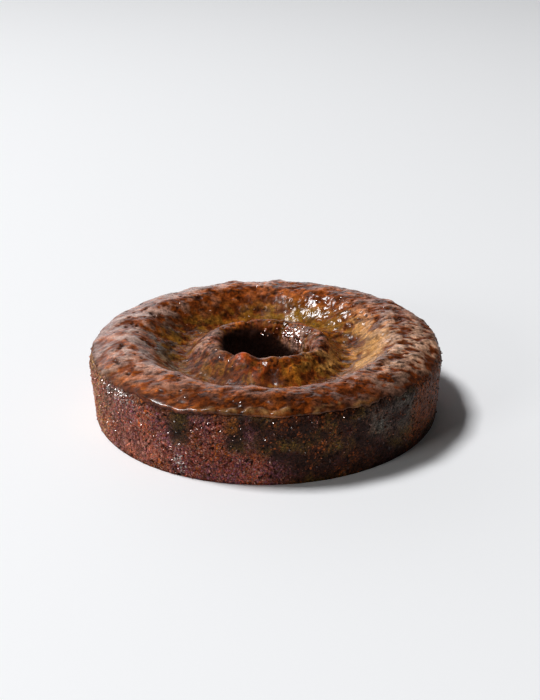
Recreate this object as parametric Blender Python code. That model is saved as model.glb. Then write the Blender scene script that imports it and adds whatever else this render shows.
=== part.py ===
"""A ring-shaped sticky toffee pudding, baked upright in a tube tin and glazed with toffee sauce.

One solid, in metres, +Z up, with the origin in the middle of its flat underside. -Y is the front.
The wall leans out a little, as the tin does. The crust rounds over a broad rim, sinks into a moat
and climbs again to a collar where the batter clung to the tin's tube. The tube left a hole.
"""

import math

import bmesh
import bpy
from mathutils import Vector, noise

# Driving dimensions
BASE_RADIUS = 0.1250
WALL_RADIUS = 0.1275
WALL_HEIGHT = 0.0430
CREST_RADIUS = 0.0985
CREST_HEIGHT = 0.0556
MOAT_RADIUS = 0.0600
MOAT_HEIGHT = 0.0372
COLLAR_RADIUS = 0.0370
COLLAR_HEIGHT = 0.0510
TUBE_RADIUS_AT_LIP = 0.0300
TUBE_RADIUS_AT_BASE = 0.0305
LIP_DEPTH = 0.0110

# How many steps each stretch of the section and the whole turn take
WALL_STEPS = 6
SHOULDER_STEPS = 9
RIM_SLOPE_STEPS = 10
COLLAR_SLOPE_STEPS = 7
LIP_STEPS = 7
TUBE_STEPS = 3
TURN_STEPS = 120

# How far each stretch may be rough, along the section's normal
WALL_ROUGHNESS = 0.0005
CRUST_ROUGHNESS = 0.0018
TUBE_ROUGHNESS = 0.0006

# How far the risen batter wanders from the even ring, and how far from each radius that reaches
WALL_WANDER = 0.0005
CREST_WANDER = 0.0010
CREST_HALF_WIDTH = 0.020
MOAT_WANDER = 0.0016
MOAT_HALF_WIDTH = 0.016
COLLAR_WANDER = 0.0010
COLLAR_HALF_WIDTH = 0.012
# The heights between which the crust comes to wander, above the wall and the tube that stay even
EVEN_BELOW = 0.026
UNEVEN_ABOVE = 0.040
# How many lumps the crust has in a metre: broad swells, and knobs on them
SWELLS_PER_METRE = 55
KNOBS_PER_METRE = 105

# Angles are from +X, seen from above. Each split or low stretch of the collar: angle, half angle, depth
COLLAR_SPLITS = (
    (math.radians(231), math.radians(4.5), 0.0042),
    (math.radians(112), math.radians(5), 0.0026),
    (math.radians(52), math.radians(32), 0.0016),
)
# Each lobe of crust that stands up on the collar: angle, half angle, height
COLLAR_LOBES = (
    (math.radians(244), math.radians(9), 0.0018),
    (math.radians(122), math.radians(6), 0.0012),
    (math.radians(98), math.radians(7), 0.0006),
)
# Each rib of crust down the outside of the collar: angle, half angle, height
COLLAR_RIBS = (
    (math.radians(294), math.radians(6), 0.0022),
    (math.radians(262), math.radians(8), 0.0010),
    (math.radians(213), math.radians(9), 0.0012),
)
RIB_RADIUS = 0.0470
RIB_HALF_LENGTH = 0.0075

# Where the mouth of the hole is wider: angle, half angle, how much
WIDE_MOUTH = (math.radians(350), math.radians(38), 0.0042)
# The mouth widens from this height up, and draws the slope outside the collar along over this length
MOUTH_FOOT = 0.0240
MOUTH_TAPER = 0.0160
# The chunk of crust that stands up on the rim at the back left: angle, radius, half width, height
RIM_CHUNK = (math.radians(104), 0.1110, 0.0060, 0.0020)

CRUST_COLOUR = (0.150, 0.052, 0.020)


def ease(t):
    """0 to 1 with no slope at either end."""
    t = min(1.0, max(0.0, t))
    return t * t * (3 - 2 * t)


def bell(offset, half_width):
    """1 at no offset, and about 0.37 at the half width."""
    return math.exp(-((offset / half_width) ** 2))


def angle_between(a, b):
    """The turn from b to a, from minus to plus half a turn."""
    return (a - b + math.pi) % (2 * math.pi) - math.pi


def bells_round(angle, spots):
    """The sum of (angle, half angle, size) bells at an angle."""
    return sum(size * bell(angle_between(angle, middle), half) for middle, half, size in spots)


def wander(angle, seed):
    """A smooth value from about -1 to 1 that comes back to itself after a turn."""
    return 1.6 * noise.noise(Vector((2.6 * math.cos(angle), 2.6 * math.sin(angle), seed)))


def top_height(radius):
    """The height of the crust between the collar's crest and the rim's crest."""
    if radius > MOAT_RADIUS:
        climb = ease((radius - MOAT_RADIUS) / (CREST_RADIUS - MOAT_RADIUS))
        return MOAT_HEIGHT + (CREST_HEIGHT - MOAT_HEIGHT) * climb
    climb = ease((MOAT_RADIUS - radius) / (MOAT_RADIUS - COLLAR_RADIUS))
    return MOAT_HEIGHT + (COLLAR_HEIGHT - MOAT_HEIGHT) * climb


def section():
    """(radius, height, roughness) of each point round the section, from the tube's foot outwards."""
    points = [(TUBE_RADIUS_AT_BASE, 0.0, 0.0)]
    for i in range(WALL_STEPS):
        t = i / WALL_STEPS
        lean = BASE_RADIUS + (WALL_RADIUS - BASE_RADIUS) * t
        points.append((lean, WALL_HEIGHT * t, WALL_ROUGHNESS * ease(4 * t)))
    for i in range(SHOULDER_STEPS):
        turn = math.pi / 2 * i / SHOULDER_STEPS
        radius = CREST_RADIUS + (WALL_RADIUS - CREST_RADIUS) * math.cos(turn)
        height = WALL_HEIGHT + (CREST_HEIGHT - WALL_HEIGHT) * math.sin(turn)
        rough = WALL_ROUGHNESS + (CRUST_ROUGHNESS - WALL_ROUGHNESS) * ease(2 * i / SHOULDER_STEPS)
        points.append((radius, height, rough))
    for i in range(RIM_SLOPE_STEPS):
        radius = CREST_RADIUS + (MOAT_RADIUS - CREST_RADIUS) * i / RIM_SLOPE_STEPS
        points.append((radius, top_height(radius), CRUST_ROUGHNESS))
    for i in range(COLLAR_SLOPE_STEPS):
        radius = MOAT_RADIUS + (COLLAR_RADIUS - MOAT_RADIUS) * i / COLLAR_SLOPE_STEPS
        points.append((radius, top_height(radius), CRUST_ROUGHNESS))
    for i in range(LIP_STEPS):
        turn = math.pi / 2 * i / LIP_STEPS
        radius = COLLAR_RADIUS - (COLLAR_RADIUS - TUBE_RADIUS_AT_LIP) * math.sin(turn)
        height = COLLAR_HEIGHT - LIP_DEPTH * (1 - math.cos(turn))
        points.append((radius, height, CRUST_ROUGHNESS))
    lip_foot = COLLAR_HEIGHT - LIP_DEPTH
    for i in range(TUBE_STEPS):
        t = i / TUBE_STEPS
        radius = TUBE_RADIUS_AT_LIP + (TUBE_RADIUS_AT_BASE - TUBE_RADIUS_AT_LIP) * t
        points.append((radius, lip_foot * (1 - t), TUBE_ROUGHNESS))
    return points


def section_normals(points):
    """The way out of the body at each point of the section, as (radial, upward)."""
    normals = []
    for i in range(len(points)):
        before = points[i - 1]
        after = points[(i + 1) % len(points)]
        along = Vector((after[0] - before[0], after[1] - before[1])).normalized()
        normals.append((along.y, -along.x))
    return normals


def sunk_unevenly(radius, height, angle):
    """Where a point of the even ring ends up once the batter has risen and sunk unevenly."""
    lift = min(1.0, height / WALL_HEIGHT)
    on_top = ease((height - EVEN_BELOW) / (UNEVEN_ABOVE - EVEN_BELOW))
    on_rim = on_top * bell(radius - CREST_RADIUS, CREST_HALF_WIDTH)
    in_moat = on_top * bell(radius - MOAT_RADIUS, MOAT_HALF_WIDTH)
    on_collar = on_top * bell(radius - COLLAR_RADIUS, COLLAR_HALF_WIDTH)
    on_ribs = on_top * bell(radius - RIB_RADIUS, RIB_HALF_LENGTH)
    flare = ease((height - MOUTH_FOOT) / (COLLAR_HEIGHT - MOUTH_FOOT))
    in_mouth = flare * ease((COLLAR_RADIUS + MOUTH_TAPER - radius) / MOUTH_TAPER)
    mouth_angle, mouth_half, wider = WIDE_MOUTH

    height += on_rim * CREST_WANDER * wander(angle, 4.2)
    height += in_moat * MOAT_WANDER * wander(angle, 12.4)
    height += on_collar * COLLAR_WANDER * wander(angle, 21.3)
    height += on_collar * bells_round(angle, COLLAR_LOBES)
    height -= on_collar * bells_round(angle, COLLAR_SPLITS)
    height += on_ribs * bells_round(angle, COLLAR_RIBS)
    radius += lift * WALL_WANDER * wander(angle, 1.7)
    radius += on_collar * COLLAR_WANDER * wander(angle, 31.6)
    radius += in_mouth * wider * bell(angle_between(angle, mouth_angle), mouth_half)
    return radius, height


def chunk_height(place):
    """How far the chunk on the rim lifts this place."""
    angle, radius, half_width, tall = RIM_CHUNK
    middle = Vector((radius * math.cos(angle), radius * math.sin(angle)))
    return tall * bell((place.xy - middle).length, half_width)


def crag(place):
    """The crust's lumps and hollows, from about -1 to 1: broad swells with knobs on them."""
    swells = noise.fractal(place * SWELLS_PER_METRE, 0.9, 2.1, 2)
    knobs = noise.noise(place * KNOBS_PER_METRE + Vector((3.1, 7.7, 1.9)))
    return 0.8 * swells + 0.7 * knobs


def turned_ring():
    """The even ring, turned from its section, and what each of its points is on the section."""
    points = section()
    mesh = bmesh.new()
    which = mesh.verts.layers.int.new("section_point")
    loop = [mesh.verts.new((radius, 0, height)) for radius, height, _ in points]
    for i, vert in enumerate(loop):
        vert[which] = i
    for i in range(len(loop)):
        mesh.edges.new((loop[i - 1], loop[i]))
    bmesh.ops.spin(
        mesh,
        geom=mesh.verts[:] + mesh.edges[:],
        axis=(0, 0, 1),
        angle=2 * math.pi,
        steps=TURN_STEPS,
        use_merge=True,
    )
    bmesh.ops.recalc_face_normals(mesh, faces=mesh.faces[:])
    return mesh, which, points


def baked(mesh, which, points):
    """Moves each point of the even ring to where the baked crust is."""
    normals = section_normals(points)
    for vert in mesh.verts:
        radius, height, roughness = points[vert[which]]
        angle = math.atan2(vert.co.y, vert.co.x)
        if height > 0:
            radius, height = sunk_unevenly(radius, height, angle)
        outward, upward = normals[vert[which]]
        place = Vector((radius * math.cos(angle), radius * math.sin(angle), height))
        normal = Vector((outward * math.cos(angle), outward * math.sin(angle), upward))
        vert.co = place + normal * (roughness * crag(place))
        if upward > 0:
            vert.co.z += chunk_height(vert.co)
    bmesh.ops.triangulate(mesh, faces=mesh.faces[:], quad_method="SHORT_EDGE")


def crust_material():
    """Dark, date-brown crust under a thin coat of toffee."""
    material = bpy.data.materials.new("toffee_crust")
    material.use_nodes = True
    shader = material.node_tree.nodes["Principled BSDF"]
    shader.inputs["Base Color"].default_value = (*CRUST_COLOUR, 1.0)
    shader.inputs["Roughness"].default_value = 0.38
    shader.inputs["Metallic"].default_value = 0.0
    return material


def pudding():
    """The whole pudding, one solid."""
    ring, which, points = turned_ring()
    baked(ring, which, points)
    mesh = bpy.data.meshes.new("pudding")
    ring.to_mesh(mesh)
    ring.free()
    mesh.shade_smooth()
    mesh.set_sharp_from_angle(angle=math.radians(60))
    mesh.materials.append(crust_material())
    made = bpy.data.objects.new("pudding", mesh)
    bpy.context.scene.collection.objects.link(made)
    return made


for old in list(bpy.data.objects):
    bpy.data.objects.remove(old, do_unlink=True)
pudding()
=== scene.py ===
"""Dresses a ring-shaped sticky toffee pudding: crumbly date sponge under a wet, craggy coat of toffee.

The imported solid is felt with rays, which gives a smooth skin over it. Everything that shows is
built on that skin: the crumb of the wall, the glaze with its pits, pools and lower edge, the runs
of sauce and the loose crumbs. Lengths are metres and angles are from +X, seen from above.
"""

from functools import partial
import math

import bpy
import numpy as np
from mathutils import Matrix, Vector, noise
from mathutils.bvhtree import BVHTree


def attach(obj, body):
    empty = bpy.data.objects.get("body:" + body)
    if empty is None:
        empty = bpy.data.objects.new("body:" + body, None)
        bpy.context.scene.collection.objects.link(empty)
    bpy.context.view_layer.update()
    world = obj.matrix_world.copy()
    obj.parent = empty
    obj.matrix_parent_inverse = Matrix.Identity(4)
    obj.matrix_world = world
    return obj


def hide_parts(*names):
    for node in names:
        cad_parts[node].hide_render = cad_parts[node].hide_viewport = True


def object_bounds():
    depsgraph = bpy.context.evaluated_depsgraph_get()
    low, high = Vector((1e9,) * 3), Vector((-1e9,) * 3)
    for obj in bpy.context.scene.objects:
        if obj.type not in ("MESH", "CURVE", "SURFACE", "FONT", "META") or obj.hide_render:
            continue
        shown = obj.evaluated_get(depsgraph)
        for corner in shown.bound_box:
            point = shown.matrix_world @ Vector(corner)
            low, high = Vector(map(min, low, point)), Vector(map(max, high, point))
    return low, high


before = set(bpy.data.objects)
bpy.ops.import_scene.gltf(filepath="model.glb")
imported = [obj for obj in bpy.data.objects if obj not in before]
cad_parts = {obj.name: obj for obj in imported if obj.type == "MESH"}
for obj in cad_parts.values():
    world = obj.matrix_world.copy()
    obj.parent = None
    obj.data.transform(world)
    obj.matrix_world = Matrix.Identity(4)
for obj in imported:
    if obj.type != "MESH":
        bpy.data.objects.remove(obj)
cad_low, cad_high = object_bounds()

OUTER = (cad_high.x - cad_low.x) / 2
TALL = cad_high.z

# The rays start on a line inside the ring: up the middle of the rim, in over the moat, down by the tube
CORE_HEIGHT = 0.52 * TALL
RIM_CORE = OUTER - 0.0223
COLLAR_CORE = 0.04
RIM_REACH = 0.024
COLLAR_REACH = 0.0165

# Where along the guide each stretch of rays ends: wall, shoulder, crust, lip, tube
WALL_END = CORE_HEIGHT
SHOULDER_END = WALL_END + RIM_REACH * math.pi / 2
CRUST_END = SHOULDER_END + RIM_CORE - COLLAR_CORE
LIP_END = CRUST_END + COLLAR_REACH * math.pi / 2
TUBE_END = LIP_END + CORE_HEIGHT

SKIN_STEP = 0.0008
SKIN_COLUMNS = 480
SKIN_BLUR = 0.002
# How many steps to each side the blur takes in
BLUR_STEPS = 8

# How far a grain of crumb reaches, in grain spacings
GRAIN_REACH = 0.8


def ease(t):
    """0 to 1 with no slope at either end."""
    t = np.clip(t, 0.0, 1.0)
    return t * t * (3 - 2 * t)


def bell(offset, half_width):
    """1 at no offset, and about 0.37 at the half width."""
    return np.exp(-((offset / half_width) ** 2))


def plateau(offset, half_width):
    """Like a bell, but flat on top and with steeper sides."""
    return np.exp(-((offset / half_width) ** 4))


def turn_between(a, b):
    """The turn from b to a, from minus to plus half a turn."""
    return (a - b + math.pi) % (2 * math.pi) - math.pi


def near_angle(theta, degrees, half_degrees, shape=bell):
    """A bump in theta round one direction."""
    return shape(turn_between(theta, np.radians(degrees)), math.radians(half_degrees))


def angles(count):
    """The angles of a row of so many points."""
    return np.arange(count) * 2 * math.pi / count


def noise_at(places, per_metre, octaves, seed):
    """Smooth noise from about -1 to 1 at many places, with so many lumps in a metre."""
    scaled = (places * per_metre + (seed, 1.7 * seed, 2.3 * seed)).tolist()
    if octaves == 1:
        return np.array([noise.noise(p) for p in scaled])
    return np.array([noise.fractal(p, 0.85, 2.1, octaves) for p in scaled])


def grains_at(places, per_metre, seed):
    """The distances to the nearest two grain centres, in grain spacings, and the grain's random value."""
    scaled = (places * per_metre + (seed, 1.3 * seed, 2.9 * seed)).tolist()
    found = [noise.voronoi(p) for p in scaled]
    near = np.array([f[0][0] for f in found])
    second = np.array([f[0][1] for f in found])
    centres = np.array([f[1][0] for f in found])
    draw = np.abs(np.sin(centres @ (12.9898, 78.233, 37.719)) * 43758.5453) % 1.0
    return near, second, draw


def dome(near, draw):
    """How high a grain stands at a distance from its centre. Its random value makes it taller or lower."""
    return np.sqrt(np.clip(1 - (near / GRAIN_REACH) ** 2, 0, 1)) * (0.35 + 0.85 * draw)


def around(theta, seed, reach):
    """A smooth value from about -1 to 1 that comes back to itself after a turn."""
    ring = np.stack([reach * np.cos(theta), reach * np.sin(theta), np.full_like(theta, seed)], -1)
    return 1.6 * np.array([noise.noise(p) for p in ring.tolist()])


def guide(u):
    """Where the ray at guide distance u starts, and where it points, in the (radius, height) plane."""
    fan = (u - WALL_END) / RIM_REACH
    lip = (u - CRUST_END) / COLLAR_REACH
    spans = [u < WALL_END, u < SHOULDER_END, u < CRUST_END, u < LIP_END]
    flat = np.full_like(u, CORE_HEIGHT)
    along = RIM_CORE - (u - SHOULDER_END)
    down = CORE_HEIGHT - (u - LIP_END)
    rim = np.full_like(u, RIM_CORE)
    collar = np.full_like(u, COLLAR_CORE)
    radius = np.select(spans, [rim, rim, along, collar], collar)
    height = np.select(spans, [u, flat, flat, flat], down)
    outward = np.select(spans, [1 + 0 * u, np.cos(fan), 0 * u, -np.sin(lip)], -1.0)
    upward = np.select(spans, [0 * u, np.sin(fan), 1 + 0 * u, np.cos(lip)], 0.0)
    return radius, height, outward, upward


def turned(radius, height, theta):
    """World points from radius, height and angle."""
    return np.stack([radius * np.cos(theta), radius * np.sin(theta), height + 0 * theta], -1)


def felt_skin(solid):
    """Places and normals of the solid's surface on a grid of guide distance by angle, with no facets."""
    mesh = solid.data
    tree = BVHTree.FromPolygons([v.co for v in mesh.vertices], [p.vertices for p in mesh.polygons])
    u = np.arange(0.0, TUBE_END + SKIN_STEP / 2, SKIN_STEP)
    theta = angles(SKIN_COLUMNS)
    radius, height, outward, upward = guide(u)
    height = np.maximum(height, SKIN_STEP)
    reach = np.zeros((len(u), SKIN_COLUMNS))
    for row in range(len(u)):
        starts = turned(radius[row], height[row], theta).tolist()
        ways = turned(outward[row], upward[row], theta).tolist()
        for column in range(SKIN_COLUMNS):
            reach[row, column] = tree.ray_cast(starts[column], ways[column])[3]

    offsets = np.arange(-BLUR_STEPS, BLUR_STEPS + 1) * SKIN_STEP
    weights = np.exp(-0.5 * (offsets / SKIN_BLUR) ** 2)
    weights /= weights.sum()
    padded = np.pad(reach, ((BLUR_STEPS, BLUR_STEPS), (0, 0)), mode="edge")
    reach = sum(w * padded[i:i + len(u)] for i, w in enumerate(weights))
    girth = np.maximum(radius + outward * reach.mean(axis=1), 0.01)
    waves = np.arange(SKIN_COLUMNS // 2 + 1)
    damping = np.exp(-0.5 * (waves[None, :] * SKIN_BLUR / girth[:, None]) ** 2)
    reach = np.fft.irfft(np.fft.rfft(reach, axis=1) * damping, SKIN_COLUMNS, axis=1)

    places = turned(
        radius[:, None] + outward[:, None] * reach,
        height[:, None] + upward[:, None] * reach,
        np.broadcast_to(theta, reach.shape),
    )
    along = np.gradient(places, axis=0)
    round_ = np.roll(places, -1, axis=1) - np.roll(places, 1, axis=1)
    normals = np.cross(round_, along)
    normals /= np.linalg.norm(normals, axis=-1, keepdims=True)
    return places, normals


SKIN, SKIN_NORMALS = felt_skin(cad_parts["pudding"])


def on_skin(u, theta):
    """Places and normals of the skin at guide distances and angles, between its grid points."""
    fu = np.clip(u / SKIN_STEP, 0, len(SKIN) - 1.001)
    ft = (theta / (2 * math.pi) * SKIN_COLUMNS) % SKIN_COLUMNS
    row = fu.astype(int)
    column = ft.astype(int) % SKIN_COLUMNS
    after = (column + 1) % SKIN_COLUMNS
    wu = (fu - row)[..., None]
    wt = (ft - np.floor(ft))[..., None]
    between = []
    for grid in (SKIN, SKIN_NORMALS):
        low = grid[row, column] * (1 - wt) + grid[row, after] * wt
        high = grid[row + 1, column] * (1 - wt) + grid[row + 1, after] * wt
        between.append(low * (1 - wu) + high * wu)
    places, normals = between
    return places, normals / np.linalg.norm(normals, axis=-1, keepdims=True)


def guide_at_height(theta, height, inside=False):
    """The guide distance at which the skin has a height: on the outer wall, or inside the tube."""
    heights = SKIN[:, :, 2]
    rows = np.arange(len(heights)) * SKIN_STEP
    crest = int(SHOULDER_END / SKIN_STEP)
    lip = int(CRUST_END / SKIN_STEP)
    columns = np.round(theta / (2 * math.pi) * SKIN_COLUMNS).astype(int) % SKIN_COLUMNS
    found = np.zeros_like(theta)
    for i, column in enumerate(columns):
        if inside:
            found[i] = np.interp(-height[i], -heights[lip:, column], rows[lip:])
        else:
            found[i] = np.interp(height[i], heights[:crest, column], rows[:crest])
    return found


def guide_at_radius(theta, radius):
    """The guide distance at which the skin comes nearest to a radius, from the shoulder inwards."""
    along = np.arange(SHOULDER_END / 2, TUBE_END - 0.01, SKIN_STEP)
    found = np.zeros_like(theta)
    for i, turn in enumerate(theta):
        line = on_skin(along, np.full_like(along, turn))[0]
        found[i] = along[np.argmin(np.abs(np.hypot(line[:, 0], line[:, 1]) - radius[i]))]
    return found


# Sheets and bodies are made from rows of points, each all the way round, and each with its own count


def zipped(first, n, second, m):
    """Triangles between a ring of n points and a ring of m points, each numbered from its first point."""
    faces = []
    i = j = 0
    while i < n or j < m:
        if j == m or (i < n and (i + 1) * m <= (j + 1) * n):
            faces.append((first + i, first + (i + 1) % n, second + j % m))
            i += 1
        else:
            faces.append((first + i % n, second + (j + 1) % m, second + j))
            j += 1
    return faces


def stitched(rows, closed=False):
    """Faces between rows of points, each row all the way round. Neighbouring rows may differ in count."""
    starts = np.concatenate([[0], np.cumsum([len(row) for row in rows])])
    faces = []
    pairs = [(i, i + 1) for i in range(len(rows) - 1)]
    if closed:
        pairs.append((len(rows) - 1, 0))
    for low, high in pairs:
        n, m = len(rows[low]), len(rows[high])
        if n != m:
            faces += zipped(starts[low], n, starts[high], m)
            continue
        k = np.arange(n)
        after = (k + 1) % n
        corners = (starts[low] + k, starts[low] + after, starts[high] + after, starts[high] + k)
        faces += np.stack(corners, -1).tolist()
    return faces


def placed(name, data):
    """A new object in the scene."""
    thing = bpy.data.objects.new(name, data)
    bpy.context.scene.collection.objects.link(thing)
    return thing


def new_piece(name, points, faces, tone, wet, material, normals=None, smooth=True):
    """A piece on the pudding, with its colours in the attribute tone and its gloss in the attribute wet."""
    mesh = bpy.data.meshes.new(name)
    mesh.from_pydata(np.asarray(points).tolist(), [], faces)
    layer = mesh.attributes.new("tone", "FLOAT_COLOR", "POINT")
    rgba = np.concatenate([tone, np.ones((len(tone), 1))], axis=1)
    layer.data.foreach_set("color", rgba.astype(np.float32).ravel())
    layer = mesh.attributes.new("wet", "FLOAT", "POINT")
    layer.data.foreach_set("value", wet.astype(np.float32))
    mesh.update()
    if smooth:
        mesh.shade_smooth()
    if normals is not None:
        mesh.normals_split_custom_set_from_vertices(normals.tolist())
    mesh.materials.append(material)
    piece = placed(name, mesh)
    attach(piece, "root")
    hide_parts("pudding")


def smooth_normals(points, faces):
    """The smooth normals of a mesh's points, for pieces that are cut from it without a seam."""
    mesh = bpy.data.meshes.new("whole")
    mesh.from_pydata(points.tolist(), [], faces)
    normals = np.zeros(3 * len(points), dtype=np.float32)
    mesh.vertex_normals.foreach_get("vector", normals)
    bpy.data.meshes.remove(mesh)
    return normals.reshape(-1, 3)


def plain(colour, count):
    """One colour, at many points."""
    return np.tile(colour, (count, 1))


def mixed(base, colour, amount):
    """Colours of many points, moved towards one colour by an amount at each point."""
    amount = np.clip(amount, 0.0, 1.0)[:, None]
    return base * (1 - amount) + np.array(colour) * amount


# The glaze's lower edge: how high it ends on the wall, and the short lobes that run further down

EDGE_HEIGHT = 0.0478
EDGE_WANDER = 0.001
# Each lobe: direction and half width in degrees, how far it runs
LOBES = (
    (240, 12, 0.0012),
    (243.5, 3, 0.001),
    (314, 3, 0.0022),
    (333, 2.2, 0.003),
    (18, 2.6, 0.006),
    (47, 2, 0.003),
    (86, 2.4, 0.0075),
    (118, 2, 0.004),
    (150, 2.3, 0.0055),
    (178, 1.8, 0.0025),
)
# Where it ends in the tube, low enough for the sponge behind it to be at the skin
TUBE_EDGE_HEIGHT = 0.0215
TUBE_EDGE_WANDER = 0.0025


def torn_edge(theta):
    """Where the glaze's edge is torn, 0 to 1: all round, but for the front."""
    return 1 - near_angle(theta, 258, 44, plateau)


def edge_height(theta):
    """How high the glaze ends on the outer wall."""
    height = EDGE_HEIGHT + EDGE_WANDER * around(theta, 3.3, 5.0) + 0.0004 * around(theta, 8.1, 14.0)
    torn = 0.0009 * around(theta, 14.2, 24.0) + 0.0006 * around(theta, 6.6, 60.0)
    height = height + torn_edge(theta) * torn
    for direction, half, drop in LOBES:
        height = height - drop * near_angle(theta, direction, half)
    return height


# Where sauce has soaked the wall. Each run: direction and half width in degrees, how low it reaches
SOAKED_RUNS = (
    (243.3, 4, 0.019),
    (261.5, 3.6, 0.018),
    (18, 4, 0.01),
    (47, 3, 0.024),
    (86, 5, 0.004),
    (118, 3, 0.022),
    (150, 4, 0.014),
    (178, 2.6, 0.028),
)
# The stretch that is soaked from top to foot, and the degrees over which it dries out at its ends
WET_FROM, WET_TO = 263.0, 356.0
WET_FADE = 13.0
# How many degrees later it starts at the foot
WET_LATER = 13.0


def soaked(theta, height):
    """How far sauce has soaked the wall, 0 to 1, apart from noise."""
    start = WET_FROM + WET_LATER * (1 - ease((height - 0.01) / 0.018))
    middle = np.radians((start + WET_TO) / 2)
    half = np.radians((WET_TO - start) / 2)
    wet = 0.95 * ease((half - np.abs(turn_between(theta, middle))) / math.radians(WET_FADE) + 0.5)
    for direction, half, foot in SOAKED_RUNS:
        run = near_angle(theta, direction, half, plateau) * ease((height - foot) / 0.01)
        wet = np.maximum(wet, run)
    return np.maximum(wet, 0.4 * ease((height - 0.041) / 0.006))


# Sponge colours, in linear light, among them painted shade, a painted glint and a painted sheen
# Near-black: a few random dark crumbs, and the painted shade in gaps and pores
DARK_CRUMB_AND_SHADE = (0.008, 0.002, 0.001)
DATE_BROWN = (0.13, 0.03, 0.014)
RED_BROWN = (0.36, 0.076, 0.042)
ORANGE_CRUMB = (0.52, 0.125, 0.018)
PLUM_CRUMB = (0.26, 0.085, 0.12)
PALE_CRUMB = (0.66, 0.33, 0.23)
SALMON = (0.56, 0.19, 0.12)
TAN_CRUMB = (0.46, 0.24, 0.085)
GREY_CRUMB = (0.23, 0.15, 0.1)
PAINTED_GLINT = (0.64, 0.56, 0.52)
SOAKED_BROWN = (0.042, 0.012, 0.005)
SOAKED_OLIVE = (0.1, 0.054, 0.009)
SOAKED_EMBER = (0.25, 0.058, 0.012)
PAINTED_SHEEN = (0.15, 0.14, 0.118)
TONGUE = (0.36, 0.11, 0.014)

WALL_COLUMNS = 1600
WALL_ROW_STEP = 0.00052
CRUMBS_PER_METRE = 540
FINE_CRUMBS_PER_METRE = 820
CRUMB_RELIEF = 0.001
# How far the wall goes up behind the glaze, how far its foot is rounded, and how far it turns in below
WALL_LAP = 0.0022
FOOT_ROUND = 0.002
FOOT_TURNED_IN = 0.004


def crumb_relief(places, wetness):
    """How far the sponge stands out, how deep in a gap each point is, which the colours darken as painted
    shade, and its crumbs' random values.
    """
    near, second, draw = grains_at(places, CRUMBS_PER_METRE, 4.0)
    fine_near, _, fine_draw = grains_at(places, FINE_CRUMBS_PER_METRE, 9.0)
    grain = dome(near, draw)
    fine = np.clip(1 - fine_near / 0.7, 0, 1) * (0.2 + 0.8 * fine_draw)
    swell = noise_at(places, 130, 3, 2.0)
    pores = ease((noise_at(places, 420, 2, 6.0) - 0.3) / 0.3)
    height = CRUMB_RELIEF * (0.55 * grain + 0.65 * fine + 0.8 * swell - 1.0 * pores - 0.45)
    height = height * (1 - 0.5 * wetness)
    between = 0.5 * ease((0.16 - second + near) / 0.16)
    gap = np.maximum(between, ease((0.3 - 0.6 * grain - 0.6 * fine) / 0.3))
    return height, np.clip(0.8 * gap + 0.9 * pores, 0, 1), draw, fine_draw


def picked(tone, colour, chance, lot):
    """Gives a colour to the crumbs whose lot, 0 to 1, is below a chance."""
    return mixed(tone, colour, ease((chance - lot) / 0.08 + 0.5))


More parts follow.
